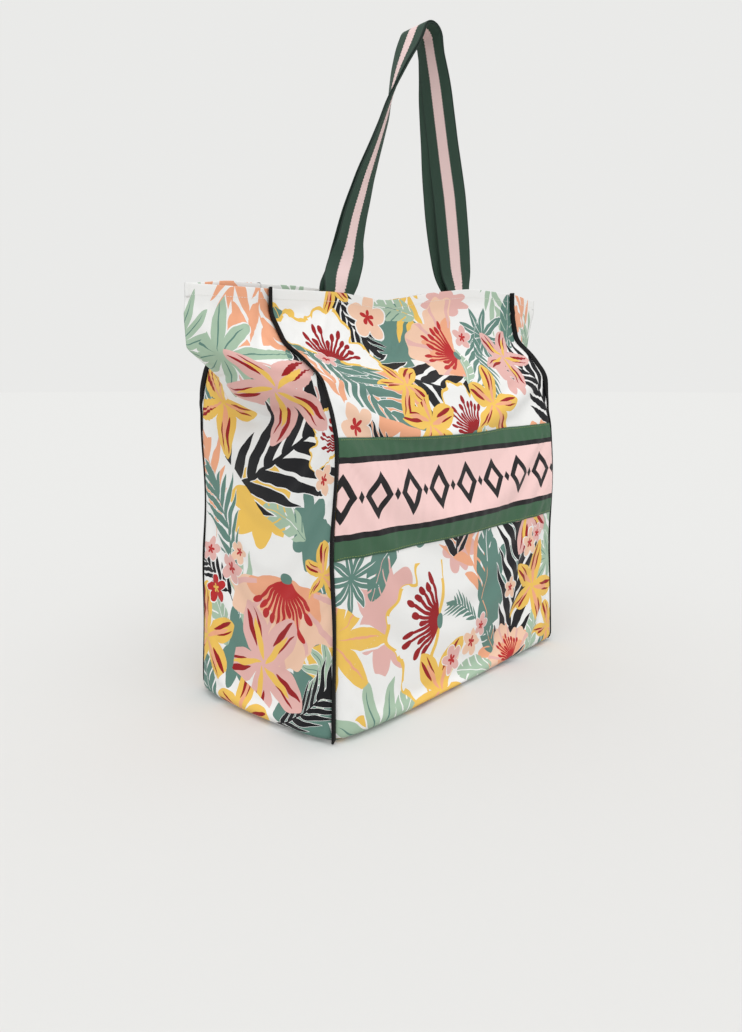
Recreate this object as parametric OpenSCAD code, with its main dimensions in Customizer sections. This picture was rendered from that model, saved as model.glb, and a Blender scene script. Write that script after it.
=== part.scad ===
// Foldable tote bag: four printed side panels and a base sewn together with bound seams, a wide
// band across the front, two webbing handles and a zipped inner pocket that the bag folds into.
// It stands open on its base with its mouth pressed shut, so the gussets fold out as two ears.
// Millimetres, +Z up, front faces -Y, origin at the middle of the base.

/* [Bag] */
// Width of the front and back panels
bag_w = 400; // [300:10:500]
// Depth of the gussets
bag_d = 200; // [170:5:240]
// Height of the closed mouth above the floor
mouth_z = 438; // [420:2:460]
// Height at which the walls start to lean in
shoulder_z = 286; // [270:2:300]
// Thickness of the fabric
fabric_t = 0.8; // [0.6:0.1:1]
// How far the right half of the mouth turns forward, at the panels' right edge
mouth_turn = 33; // [0:1:35]

/* [Band] */
// Height of the band's lower edge
band_z = 170; // [150:5:170]
// Height of the band
band_h = 116; // [80:2:116]

/* [Handles] */
// Width of the webbing
webbing_w = 40; // [30:1:42]
// Thickness of the webbing
webbing_t = 1.8; // [1.2:0.1:2]
// Distance between the middles of one handle's two ends
handle_spacing = 200; // [160:5:220]
// Height of a handle above the mouth
handle_rise = 318; // [250:1:330]
// How far the handles lean forward at the top
handle_lean = 30; // [0:1:35]

/* [Bindings] */
// How far the bound seams stand proud
ridge_depth = 7; // [5:0.5:8]
// Thickness of the bound seams
ridge_t = 2.6; // [2:0.1:3]

/* [Pocket] */
// Width of the inner pocket that the bag folds into
pocket_w = 170; // [150:5:190]
// Height of the inner pocket
pocket_h = 146; // [130:2:150]
// Space inside the inner pocket
pocket_space = 7; // [6:0.5:9]
// Width of each zip tape
tape_w = 11; // [9:0.5:12]

/* [Hidden] */

// Bodies that move apart stay this far from each other
clear = 0.3;
half_w = bag_w / 2;
half_d = bag_d / 2;

// The walls' half depth at each height, as [half depth, height]: upright, then leaning in to the mouth
mouth_gap = 7;
hem_h = 25;
wall = [[half_d, 0], [half_d, shoulder_z], [0.95 * half_d, shoulder_z + 26],
        [0.84 * half_d, shoulder_z + 57], [0.55 * half_d, shoulder_z + 79],
        [0.30 * half_d, shoulder_z + 92], [mouth_gap, mouth_z - hem_h], [mouth_gap, mouth_z]];
// The gussets' fold stands out this far at each height, as [height, reach]
ear = [[0, 0], [shoulder_z + 34, 0], [shoulder_z + 60, 0.42 * half_d], [shoulder_z + 82, 0.8 * half_d],
       [shoulder_z + 99, half_d], [mouth_z, half_d]];

gusset_rows = [0, shoulder_z / 2, shoulder_z, shoulder_z + 26, shoulder_z + 34, shoulder_z + 48,
               shoulder_z + 60, shoulder_z + 70, shoulder_z + 82, shoulder_z + 99,
               mouth_z - hem_h, mouth_z];

print_white = [0.95, 0.95, 0.94];
webbing_green = [0.22, 0.33, 0.28];
binding_black = [0.07, 0.07, 0.08];
band_pink = [0.93, 0.78, 0.77];
lining_green = [0.45, 0.58, 0.54];

// To the right of this place the bag turns forward, more and more between the shoulder and the hem
turn_x = -130;
turn_slope = mouth_turn / (half_w - turn_x);
turn_angle = atan(turn_slope);
function turn_share(z) = min(1, max(0, (z - shoulder_z) / (mouth_z - hem_h - shoulder_z)));
function turned(p) = [p[0], p[1] - max(0, p[0] - turn_x) * turn_slope * turn_share(p[2]), p[2]];

function half_depth(z) = lookup(z, [for (p = wall) [p[1], p[0]]]);
function ear_reach(z) = lookup(z, ear);
function mix(a, b, t) = a + (b - a) * t;
function unit(v) = v / norm(v);
function last(list) = len(list) - 1;

// A closed solid through rings of points. The first half of each ring runs opposite its second half, so
// the end faces are strips of four-sided faces, and both halves are split along the same diagonals
function ring_faces(rings, n) = concat(
    [for (i = [0:n / 2 - 2]) [i, i + 1, n - 2 - i, n - 1 - i]],
    [for (r = [0:rings - 2], i = [0:n - 1])
        let (j = (i + 1) % n, a = r * n, b = a + n)
        for (f = i < n / 2 ? [[a + i, b + i, b + j], [a + i, b + j, a + j]]
                           : [[a + i, b + i, a + j], [b + i, b + j, a + j]]) f],
    [for (i = [0:n / 2 - 2])
        let (a = (rings - 1) * n) [a + n - 1 - i, a + n - 2 - i, a + i + 1, a + i]]);

module sweep(rings) {
    points = [for (ring = rings) for (p = ring) p];
    polyhedron(points, ring_faces(len(rings), len(rings[0])));
}

// ---------- Panels ----------

// The sideways direction at a point of the wall's outline, pointing into the bag
function wall_inward(i) =
    let (a = wall[max(i - 1, 0)], b = wall[min(i + 1, last(wall))], d = unit(b - a)) [-d[1], d[0]];

// The section of one wall at a place across it, along the outline and back along the cloth's inside
function wall_ring(x, side) =
    let (inside = [for (i = [last(wall):-1:0])
        let (p = wall[i] + fabric_t * wall_inward(i)) [p[0], max(0, min(p[1], mouth_z))]])
    [for (p = concat(wall, inside)) turned([x, side * p[0], p[1]])];

// One wall, as wide as the bag, at the front (side = -1) or back (side = 1)
module wall_panel(side) {
    edge = half_w - fabric_t / 2;
    sweep([for (x = side > 0 ? [edge, turn_x, -edge] : [-edge, turn_x, edge]) wall_ring(x, side)]);
}

module front_panel() { color(print_white) wall_panel(-1); }
module back_panel() { color(print_white) wall_panel(1); }

// One gusset: flat below, and folded out into an ear towards the mouth
gusset_steps = [-1, -0.5, 0, 0.5, 1];
function gusset_ring(z, side) =
    let (y = half_depth(z) - fabric_t - clear, reach = ear_reach(z), fold = norm([y, reach]),
         y_in = y - fabric_t * reach / fold, x_in = fabric_t * y / fold)
    concat(
        [for (s = gusset_steps) turned([side * (half_w + reach * (1 - abs(s))), y * s, z])],
        [for (i = [last(gusset_steps):-1:0]) let (s = gusset_steps[i])
            turned([side * (half_w - x_in + reach * y_in / y * (1 - abs(s))), y_in * s, z])]);

module gusset(side) {
    rings = [for (z = gusset_rows) gusset_ring(z, side)];
    sweep(side > 0 ? rings : [for (i = [last(rings):-1:0]) rings[i]]);
}

module left_gusset() { color(print_white) gusset(-1); }
module right_gusset() { color(print_white) gusset(1); }

module bottom_panel() {
    inset = fabric_t + clear;
    color(print_white) translate([-half_w + inset, -half_d + inset, 0])
        cube([bag_w - 2 * inset, bag_d - 2 * inset, fabric_t]);
}

module front_band() {
    width = bag_w - 2 * (ridge_t / 2 + clear + 0.4);
    color(band_pink) translate([-width / 2, -half_d - fabric_t, band_z]) cube([width, fabric_t, band_h]);
}

// ---------- Bound seams ----------

// The tape folded over a seam: a flat ridge that points away from both panels
function ridge_ring(z, side_x, side_y) =
    let (y = half_depth(z), reach = ear_reach(z),
         out = unit([y, reach + norm([y, reach])]),
         across = [out[1], -out[0]], base = [half_w, y] - clear * out)
    [for (p = [base - across * ridge_t / 2, base + out * ridge_depth - across * ridge_t / 2,
               base + out * ridge_depth + across * ridge_t / 2, base + across * ridge_t / 2])
        turned([side_x * p[0], side_y * p[1], z])];

module binding(side_x, side_y) {
    rings = [for (z = gusset_rows) ridge_ring(z, side_x, side_y)];
    flip = side_x * side_y < 0;
    color(binding_black) sweep(flip ? [for (i = [last(rings):-1:0]) rings[i]] : rings);
}

module front_left_binding() { binding(-1, -1); }
module front_right_binding() { binding(1, -1); }
module back_left_binding() { binding(-1, 1); }
module back_right_binding() { binding(1, 1); }

// ---------- Handles ----------

// The handles turn about their webbing where it leaves the hem
handle_y = mouth_gap - fabric_t - clear - webbing_t / 2;
hinge_z = mouth_z + 16;
handle_start = hinge_z + 0.5;
end_below = 28;
end_gap = 3;
end_above = hinge_z - mouth_z - end_gap;
leg_steps = 16;
fold_steps = 6;
fold_r = 13;
nest_gap = webbing_t + 2;
leg_h = mouth_z + handle_rise - fold_r - nest_gap - handle_start;
leg_slant = atan((handle_spacing / 2 - fold_r) / leg_h);

function leg_bow(t) = t * (1 - pow(1 - t, 6));
function leg_point(t) =
    let (top_x = fold_r * cos(leg_slant)) [
        -mix(handle_spacing / 2, top_x, leg_bow(t)),
        -handle_y - handle_lean * leg_bow(t),
        handle_start + leg_h * t];
function leg_along(t) = t == 0 ? [0, 0, 1] : unit(leg_point(min(t + 0.01, 1)) - leg_point(t - 0.01));
// The webbing faces forward at the hem and turns its edge forward at the top
function leg_across(t) =
    let (turn = 90 * t * t, flat = [cos(turn), sin(turn), 0], along = leg_along(t))
    unit(flat - (flat * along) * along);

// Each station is [middle, along the width, out of the back of the webbing]
function leg_station(t) =
    let (across = leg_across(t)) [leg_point(t), across, cross(leg_along(t), across)];
function fold_station(a) = [
    [fold_r * cos(a), leg_point(1)[1], leg_point(1)[2] + fold_r * (sin(a) - sin(leg_slant))],
    [0, 1, 0], [cos(a), 0, sin(a)]];
function mirrored(station) = [for (v = station) [-v[0], v[1], v[2]]];

left_leg = [for (i = [0:leg_steps]) leg_station(i / leg_steps)];
fold = [for (i = [1:fold_steps - 1]) fold_station(mix(180 - leg_slant, leg_slant, i / fold_steps))];
right_leg = [for (i = [leg_steps:-1:0]) mirrored(left_leg[i])];

function webbing_ring(s, offset) =
    let (
        middle = s[0] + offset * s[2],
        half_width = s[1] * webbing_w / 2,
        half_t = s[2] * webbing_t / 2)
    [middle - half_width - half_t, middle + half_width - half_t,
     middle + half_width + half_t, middle - half_width + half_t];

// One handle, as a flat ribbon. The back one lies outside the front one, and closer to it at the top
module handle(root_offset, top_offset) {
    rings = concat(
        [for (i = [0:leg_steps])
            webbing_ring(left_leg[i], mix(root_offset, top_offset, i / leg_steps))],
        [for (s = fold) webbing_ring(s, top_offset)],
        [for (i = [0:leg_steps])
            webbing_ring(right_leg[i], mix(top_offset, root_offset, i / leg_steps))]);
    color(webbing_green) sweep(rings);
}

// The handles stand on the part of the mouth that turns forward, and turn with it
module turned_forward() {
    translate([turn_x, 0, 0]) rotate(-turn_angle) translate([-turn_x, 0, 0]) children();
}

module front_handle() { turned_forward() handle(0, 0); }
module back_handle() { turned_forward() handle(2 * handle_y, nest_gap); }

// The ends of one handle, sewn inside the hem
module handle_ends(side) {
    color(webbing_green) turned_forward() for (x = [-1, 1])
        translate([
            x * handle_spacing / 2 - webbing_w / 2,
            side * handle_y - webbing_t / 2,
            mouth_z - end_below])
            cube([webbing_w, webbing_t, end_below + end_above]);
}

module front_handle_ends() { handle_ends(-1); }
module back_handle_ends() { handle_ends(1); }

// ---------- Inner pocket and its zip ----------

pocket_z = 118;
zip_below_top = 6;
pocket_back = half_d - fabric_t;
pocket_face = pocket_back - pocket_space - fabric_t;
pocket_top = pocket_z + pocket_h;
zip_z = pocket_top - tape_w - zip_below_top;
tape_t = 0.6;
teeth_y = pocket_face + fabric_t + tape_t / 2;
// The teeth stop short of the pocket's sides, and the two rows stand this far either side of the middle
teeth_len = pocket_w - 14;
zip_gap = 0.6;
tooth_h = 2.2;
tooth_t = 1.2;
tooth_w = 1.3;
tooth_pitch = 3;
cord_h = 0.8;
// The slot in the pocket's face shows the teeth and this much of the tapes' other edges stays covered
tape_cover = 3;
slot_half = zip_gap + tooth_h + tape_w - tape_cover;

// A shallow tray of fabric sewn to the back panel, with a slot for the zip
module stow_pocket() {
    color(lining_green) difference() {
        translate([-pocket_w / 2, pocket_face, pocket_z])
            cube([pocket_w, pocket_back - pocket_face, pocket_h]);
        translate([-pocket_w / 2 + fabric_t, pocket_face + fabric_t, pocket_z + fabric_t])
            cube([pocket_w - 2 * fabric_t, pocket_space + 1, pocket_h - 2 * fabric_t]);
        translate([-pocket_w / 2 + tape_cover, pocket_face - 1, zip_z - slot_half])
            cube([pocket_w - 2 * tape_cover, fabric_t + 2, 2 * slot_half]);
    }
}

// A tape lies behind the pocket's cloth, and its teeth face the other tape
module zip_tape(side) {
    length = pocket_w - 2 * fabric_t - 2 * clear;
    edge = zip_z + side * (zip_gap + tooth_h);
    low = min(edge, edge + side * tape_w);
    color(binding_black) translate([-length / 2, pocket_face + fabric_t, low])
        cube([length, tape_t, tape_w]);
}

module upper_zip_tape() { zip_tape(1); }
module lower_zip_tape() { zip_tape(-1); }

teeth = floor(teeth_len / tooth_pitch);

// One row of teeth on a cord along the tape's edge. The upper row's teeth stand between the lower row's
module zip_teeth(side) {
    from = zip_z + side * zip_gap;
    root = from + side * tooth_h;
    shift = side > 0 ? tooth_pitch / 2 : 0;
    color("dimgray") translate([-teeth_len / 2, teeth_y - tooth_t / 2, 0]) {
        translate([0, 0, min(root, root - side * cord_h)]) cube([teeth_len, tooth_t, cord_h]);
        for (i = [0:teeth - 1])
            translate([i * tooth_pitch + shift, 0, min(from, root)]) cube([tooth_w, tooth_t, tooth_h]);
    }
}

module upper_zip_teeth() { zip_teeth(1); }
module lower_zip_teeth() { zip_teeth(-1); }

// The metal clips at both ends of the teeth, bridging the two rows
stop_w = 2;
stop_t = 0.8;
stop_gap = 0.5;
module zip_stops() {
    height = 2 * (zip_gap + tooth_h);
    middle = teeth_len / 2 + stop_w / 2 + stop_gap;
    front = teeth_y - stop_t - tape_t / 2;
    color("silver") for (x = [-middle, middle])
        translate([x - stop_w / 2, front, zip_z - height / 2]) cube([stop_w, stop_t, height]);
}

slider_len = 9;
slider_w = 8;
slider_bevel = 1.4;
plate_t = 1;
plate_gap = 1;
slider_front = teeth_y - tooth_t / 2 - plate_gap - plate_t;
slider_back = teeth_y + tooth_t / 2 + plate_gap;
rest_x = teeth_len / 2 - slider_len / 2 - stop_w - 1;
bridge_len = 2.6;
bridge_t = 0.8;

lug_r = 2;
lug_hole_r = 1.06;
lug_t = 1.4;
pin_r = 1;
puller_y = slider_front - lug_r + 0.1;

module slider_plate(y) {
    a = slider_len / 2;
    b = slider_w / 2;
    translate([0, y + plate_t, 0]) rotate([90, 0, 0]) linear_extrude(plate_t)
        polygon([[-a, slider_bevel - b], [slider_bevel - a, -b], [a, -b], [a, b], [slider_bevel - a, b],
                 [-a, b - slider_bevel]]);
}

// Two plates joined by a bridge that runs between the rows of teeth, and a lug for the puller
module zip_slider() {
    color("silver") translate([rest_x, 0, zip_z]) {
        slider_plate(slider_front);
        slider_plate(slider_back);
        translate([slider_len / 2 - bridge_len, slider_front + plate_t / 2, -bridge_t / 2])
            cube([bridge_len, slider_back - slider_front, bridge_t]);
        difference() {
            union() {
                translate([0, puller_y, -lug_t / 2]) cylinder(r = lug_r, h = lug_t, $fn = 48);
                translate([-lug_r, puller_y, -lug_t / 2])
                    cube([2 * lug_r, slider_front - puller_y + plate_t / 2, lug_t]);
            }
            translate([0, puller_y, -lug_t]) cylinder(r = lug_hole_r, h = 2 * lug_t, $fn = 48);
        }
    }
}

arm_t = 1;
puller_t = 1.4;
puller_len = 24;
puller_w = 6;
tongue_start = 4;
eye_r = 1.3;

// A pin through the slider's lug, two arms beside it and a flat tongue
module zip_puller() {
    arm_z = lug_t / 2 + clear;
    reach = arm_z + arm_t;
    color("silver") translate([rest_x, puller_y, zip_z]) {
        translate([0, 0, -reach]) cylinder(r = pin_r, h = 2 * reach, $fn = 48);
        for (z = [-reach, arm_z])
            translate([0, -puller_t / 2, z]) cube([tongue_start + 1, puller_t, arm_t]);
        translate([tongue_start, -puller_t / 2, 0]) rotate([-90, 0, 0])
            linear_extrude(puller_t) difference() {
                hull() {
                    translate([0, -reach]) square([1, 2 * reach]);
                    translate([puller_len - puller_w / 2, 0]) circle(r = puller_w / 2, $fn = 32);
                }
                translate([puller_len - puller_w / 2, 0]) circle(r = eye_r, $fn = 32);
            }
    }
}

front_panel();
back_panel();
left_gusset();
right_gusset();
bottom_panel();
front_band();
front_left_binding();
front_right_binding();
back_left_binding();
back_right_binding();
front_handle_ends();
back_handle_ends();
front_handle();
back_handle();
stow_pocket();
upper_zip_tape();
lower_zip_tape();
upper_zip_teeth();
lower_zip_teeth();
zip_stops();
zip_slider();
zip_puller();
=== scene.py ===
"""A foldable tote bag of printed cloth, with bound seams, a wide band, webbing handles and an inner pocket.

It stands open on its base with its mouth pressed shut, so its gussets fold out as two ears. Metres, +Z up,
and the front faces -Y. The shape repeats the CAD design's own measurements.
"""

import math
from functools import partial

import bmesh
import bpy
import numpy as np
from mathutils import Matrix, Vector


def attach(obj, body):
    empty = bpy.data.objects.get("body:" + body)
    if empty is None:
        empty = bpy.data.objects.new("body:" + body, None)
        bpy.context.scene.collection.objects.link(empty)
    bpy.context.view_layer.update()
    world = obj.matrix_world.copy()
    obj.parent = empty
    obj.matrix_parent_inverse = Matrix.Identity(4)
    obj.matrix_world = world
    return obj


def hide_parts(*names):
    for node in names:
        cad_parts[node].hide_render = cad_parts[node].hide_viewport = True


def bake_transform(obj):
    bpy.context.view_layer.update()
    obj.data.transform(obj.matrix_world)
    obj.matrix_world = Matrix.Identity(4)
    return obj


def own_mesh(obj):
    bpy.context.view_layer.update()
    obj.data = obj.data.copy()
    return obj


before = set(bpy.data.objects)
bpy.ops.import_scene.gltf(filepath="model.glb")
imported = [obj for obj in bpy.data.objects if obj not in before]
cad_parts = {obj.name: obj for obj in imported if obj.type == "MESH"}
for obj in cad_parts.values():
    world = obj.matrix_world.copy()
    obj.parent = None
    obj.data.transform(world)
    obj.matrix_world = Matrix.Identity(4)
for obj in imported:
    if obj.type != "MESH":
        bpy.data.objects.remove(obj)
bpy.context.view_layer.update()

# ---------- Measurements ----------

HALF_W = 0.2
HALF_D = 0.1
MOUTH_Z = 0.438
SHOULDER_Z = 0.286
HEM_H = 0.025
CLOTH_T = 0.0005
CLEAR = 0.0003

BAND_Z = 0.170
BAND_H = 0.116

WEBBING_W = 0.040
WEBBING_T = 0.0018
HANDLE_SPACING = 0.2
HANDLE_RISE = 0.318
HANDLE_LEAN = 0.030
HANDLE_Y = 0.005
HINGE_Z = 0.454
FOLD_R = 0.013
NEST_GAP = 0.0038

# The walls' half depth and the gussets' outward reach at each height, as (height, distance)
WALL = [(0, 0.1), (0.286, 0.1), (0.312, 0.095), (0.343, 0.084), (0.365, 0.055), (0.378, 0.030),
        (0.413, 0.007), (0.438, 0.007)]
BACK_WALL = [(0, 0.1), (0.330, 0.1), (0.358, 0.094), (0.380, 0.068), (0.396, 0.030), (0.413, 0.007),
             (0.438, 0.007)]
EAR = [(0, 0), (0.316, 0), (0.324, 0.018), (0.332, 0.036), (0.352, 0.050), (0.364, 0.076), (0.374, 0.097),
       (0.438, 0.098)]
FLOOR_ROUND = 0.012

# To the right of this place the bag turns forward, by this much of the distance at the mouth
TURN_X = -0.13
TURN_SLOPE = 0.1
# The mouth's edge stands this far above its mean height, as (across, rise)
MOUTH_RISE = [(-0.3, -0.009), (-0.2, -0.006), (-0.1, -0.001), (-0.03, -0.006), (0.045, 0.010), (0.12, 0.021),
              (0.3, 0.020)]


# ---------- The bag's outline ----------

HEIGHTS = np.linspace(0, MOUTH_Z, 439)


def smoothed(values, window):
    """The values averaged over a window, with both ends held."""
    padded = np.pad(values, window // 2, mode="edge")
    return np.convolve(padded, np.ones(window) / window, mode="valid")[: len(values)]


def profile(points, window):
    """Values at each of HEIGHTS along straight lines between the points, with the corners rounded."""
    return smoothed(np.interp(HEIGHTS, *zip(*points)), window)


DEPTHS = profile(WALL, 15)
BACK_DEPTHS = profile(BACK_WALL, 15)
REACHES = profile(EAR, 7)
# The front's own length of cloth at each of HEIGHTS
LENGTHS = np.concatenate([[0], np.cumsum(np.hypot(np.diff(DEPTHS), np.diff(HEIGHTS)))])


def tuck(z):
    """How far the walls pull in where they turn under at the floor."""
    t = np.clip(1 - np.asarray(z) / FLOOR_ROUND, 0, 1)
    return FLOOR_ROUND * (1 - np.sqrt(1 - t * t)) * 0.8


def half_depth(z, back=False):
    return np.interp(z, HEIGHTS, BACK_DEPTHS if back else DEPTHS) - tuck(z)


def half_width(z):
    return HALF_W - tuck(z)


def ear_reach(z):
    return np.interp(z, HEIGHTS, REACHES)


def even_heights(low, high, count):
    """Heights that are equally far apart along the cloth."""
    ends = np.interp([low, high], HEIGHTS, LENGTHS)
    return np.interp(np.linspace(*ends, count), LENGTHS, HEIGHTS)


def step(value, low, high):
    """0 below low and 1 above high, with a smooth slope between."""
    t = np.clip((np.asarray(value) - low) / (high - low), 0, 1)
    return t * t * (3 - 2 * t)


def stacked(*parts):
    """Arrays or numbers as the last axis of one array."""
    return np.stack(np.broadcast_arrays(*parts), axis=-1)


ACROSS = np.linspace(-0.31, 0.31, 249)
RISES = smoothed(np.interp(ACROSS, *zip(*MOUTH_RISE)), 15)


def forward(x, z):
    """How far the bag has turned forward at a place across and up."""
    past = x - TURN_X
    share = np.clip((z - SHOULDER_Z) / (MOUTH_Z - HEM_H - SHOULDER_Z), 0, 1)
    ear_back = 0.022 * step(x, HALF_W, HALF_W + 0.1)
    return ((past + np.hypot(past, 0.02)) / 2 * TURN_SLOPE - ear_back) * share ** 2


def bulge(x, y, z):
    """How far the walls belly out sideways and to the front and back, most of all just above the floor."""
    across = np.clip(x / half_width(z), -1, 1)
    along = np.clip(y / np.maximum(half_depth(z), 1e-6), -1, 1)
    low = (0.35 + 0.65 * np.exp(-((z - 0.02) / 0.07) ** 2)) * (1 - step(z, 0.2, 0.31))
    sideways = across ** 3 * np.sqrt(1 - along ** 2) * 0.016
    outward = along ** 3 * np.sqrt(1 - across ** 4) * (0.009 - 0.006 * across)
    return sideways * low, outward * low


def sway(points):
    """The same points after the whole bag has settled. Every soft piece goes through this, so they agree."""
    p = np.asarray(points, float)
    x, y, z = p[..., 0], p[..., 1], p[..., 2]
    up = step(z, 0.02, 0.2)
    near_mouth = step(z, 0.30, 0.42)
    outward = np.sign(y) * step(np.abs(y), 0.02, 0.09)
    sideways, belly = bulge(x, y, z)
    moved = p.copy()
    moved[..., 1] += outward * up * (0.0016 * np.sin(z * 31 + x * 5) - 0.0012 * np.sin(z * 13 + 1))
    moved[..., 1] += belly - forward(x, z)
    moved[..., 0] += up * (1 - near_mouth) * 0.0014 * np.sin(z * 37 + np.sign(x) + y * 8) + sideways
    moved[..., 2] += np.interp(x, ACROSS, RISES) * near_mouth
    rear = step(y, 0.0, 0.004) * step(z, 0.38, 0.43)
    moved[..., 2] += 0.006 * rear * step(-x, 0.05, 0.16)
    return moved


# ---------- Meshes ----------

def new_object(name, vertices, faces):
    mesh = bpy.data.meshes.new(name)
    mesh.from_pydata([tuple(v) for v in vertices], [], faces)
    mesh.validate()
    mesh.polygons.foreach_set("use_smooth", [True] * len(mesh.polygons))
    piece = bpy.data.objects.new(name, mesh)
    bpy.context.scene.collection.objects.link(piece)
    return piece


def grid_normals(points):
    """The normals of a grid of points. Rows go up, and columns to the right of the cloth's face."""
    up = np.gradient(points, axis=0)
    right = np.gradient(points, axis=1)
    normals = np.cross(right, up)
    return normals / np.maximum(np.linalg.norm(normals, axis=-1, keepdims=True), 1e-12)


def print_map(piece, coordinates):
    """Stores each vertex's place on the flat cloth, in metres, as the UV map that the print reads."""
    layer = piece.data.uv_layers.new(name="print")
    corners = np.zeros(len(piece.data.loops), int)
    piece.data.loops.foreach_get("vertex_index", corners)
    layer.data.foreach_set("uv", np.asarray(coordinates, np.float32)[corners].ravel())


def quads(index):
    """The four corners of each cell of a grid of vertex numbers, row by row."""
    corners = [index[:-1, :-1], index[:-1, 1:], index[1:, 1:], index[1:, :-1]]
    return np.stack(corners, axis=-1).reshape(-1, 4).tolist()


def cloth_from_grid(name, points, flat):
    """A closed sheet whose outer face is the grid and whose inner face lies its thickness behind."""
    inner = points - CLOTH_T * grid_normals(points)
    vertices = np.concatenate([points.reshape(-1, 3), inner.reshape(-1, 3)])
    front = np.arange(len(vertices) // 2).reshape(points.shape[:2])
    back = front + len(vertices) // 2
    rims = [np.concatenate([side[0, :-1], side[:-1, -1], side[-1, :0:-1], side[:0:-1, 0], side[0, :1]])
            for side in (back, front)]
    piece = new_object(name, vertices, quads(front) + quads(back[:, ::-1]) + quads(np.array(rims)))
    flat = flat.reshape(-1, 2)
    print_map(piece, np.concatenate([flat, flat]))
    return piece


def dress(piece, material, body, node=None):
    """Gives a piece its material and the body it rides on, and hides the CAD node it stands for."""
    piece.data.materials.append(material)
    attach(piece, body)
    if node:
        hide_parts(node)
    return piece


# ---------- Camera, light and floor ----------

def make_camera():
    data = bpy.data.cameras.new("camera")
    data.lens = 27.35
    data.sensor_width = 36
    data.shift_y = -0.126
    camera = bpy.data.objects.new("camera", data)
    camera.location = (-0.719, -0.613, 0.334)
    camera.rotation_mode = "QUATERNION"
    camera.rotation_quaternion = Vector((0.743, 0.669, 0)).to_track_quat("-Z", "Y")
    bpy.context.scene.collection.objects.link(camera)
    bpy.context.scene.camera = camera


STUDIO_GREY = 0.823
FLOOR_HALF = 40


def make_stage():
    """Soft even light, one wide lamp from the upper left, and a pale floor."""
    scene = bpy.context.scene
    scene.view_settings.view_transform = "Standard"
    world = bpy.data.worlds.new("studio")
    world.use_nodes = True
    background = world.node_tree.nodes["Background"]
    background.inputs["Color"].default_value = (STUDIO_GREY, STUDIO_GREY, STUDIO_GREY * 0.985, 1)
    scene.world = world

    data = bpy.data.lights.new("key", "SUN")
    data.energy = 1.35
    data.angle = math.radians(55)
    key = bpy.data.objects.new("key", data)
    key.rotation_mode = "QUATERNION"
    key.rotation_quaternion = Vector((0.42, 0.52, -1.2)).to_track_quat("-Z", "Y")
    scene.collection.objects.link(key)

    corners = [(x * FLOOR_HALF, y * FLOOR_HALF, 0) for x, y in [(-1, -1), (1, -1), (1, 1), (-1, 1)]]
    floor = new_object("floor", corners, [(0, 1, 2, 3)])
    material = bpy.data.materials.new("floor")
    material.use_nodes = True
    shader = material.node_tree.nodes["Principled BSDF"]
    for name, value in [("Base Color", (0.62, 0.62, 0.615, 1)), ("Roughness", 1), ("Specular IOR Level", 0),
                        ("Emission Color", (1, 1, 0.985, 1)), ("Emission Strength", 0.10)]:
        shader.inputs[name].default_value = value
    floor.data.materials.append(material)


make_camera()
make_stage()


# ---------- Arithmetic with shader nodes ----------

class Tree:
    """The node tree that new nodes go into, and its shader."""
    nodes = None
    links = None
    shader = None


def start_material(name):
    material = bpy.data.materials.new(name)
    material.use_nodes = True
    Tree.nodes = material.node_tree.nodes
    Tree.links = material.node_tree.links
    Tree.shader = Tree.nodes["Principled BSDF"]
    return material


class Value:
    """One output of a node. Arithmetic on it adds math nodes."""

    def __init__(self, socket):
        self.socket = socket


def feed(socket, value):
    """Sets a socket, or links it if the value comes from a node."""
    if isinstance(value, Value):
        Tree.links.new(value.socket, socket)
    elif isinstance(value, tuple) and len(value) == 3 and socket.type == "RGBA":
        socket.default_value = (*value, 1)
    else:
        socket.default_value = value


def add_node(kind, output, *inputs, **settings):
    """A new node's output. Inputs are (socket name or number, value)."""
    node = Tree.nodes.new(kind)
    for setting, value in settings.items():
        setattr(node, setting, value)
    for socket, value in inputs:
        feed(node.inputs[socket], value)
    return Value(node.outputs[output])


def calculate(operation, *values):
    return add_node("ShaderNodeMath", 0, *enumerate(values), operation=operation)


def arithmetic(operation, swapped):
    """What Python calls for an operator between a Value and another value or a number."""
    def calculated(value, other):
        return calculate(operation, other, value) if swapped else calculate(operation, value, other)
    return calculated


for operator, operation in [("add", "ADD"), ("sub", "SUBTRACT"), ("mul", "MULTIPLY"), ("truediv", "DIVIDE"),
                            ("pow", "POWER"), ("lt", "LESS_THAN"), ("gt", "GREATER_THAN")]:
    setattr(Value, f"__{operator}__", arithmetic(operation, False))
for operator, operation in [("radd", "ADD"), ("rsub", "SUBTRACT"), ("rmul", "MULTIPLY")]:
    setattr(Value, f"__{operator}__", arithmetic(operation, True))


larger, smaller, magnitude, sign, whole, fraction, sine, cosine, arctan = (
    partial(calculate, operation) for operation in (
        "MAXIMUM", "MINIMUM", "ABSOLUTE", "SIGN", "FLOOR", "FRACT", "SINE", "COSINE", "ARCTAN2"))


def vector(operation, *values, output=0):
    return add_node("ShaderNodeVectorMath", output, *enumerate(values), operation=operation)


def length_of(x, y):
    return calculate("SQRT", x * x + y * y)


def mixed(share, below, above):
    """The colour below where share is 0, and the one above where it is 1."""
    return add_node("ShaderNodeMix", 2, (0, share), (6, below), (7, above), data_type="RGBA")


def mixed_vector(share, below, above):
    return add_node("ShaderNodeMix", 1, (0, share), (4, below), (5, above), data_type="VECTOR")


def noise(place, scale, detail=2.0, output=0, **settings):
    return add_node("ShaderNodeTexNoise", output, ("Vector", place), ("Scale", scale), ("Detail", detail),
                    **settings)


def scatter(seed):
    """A number between 0 and 1 that differs for each whole seed."""
    return add_node("ShaderNodeTexWhiteNoise", 0, ("W", seed), noise_dimensions="1D")


def pieces_of(place):
    """The x, y and z of a vector."""
    node = Tree.nodes.new("ShaderNodeSeparateXYZ")
    feed(node.inputs[0], place)
    return [Value(socket) for socket in node.outputs]


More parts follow.
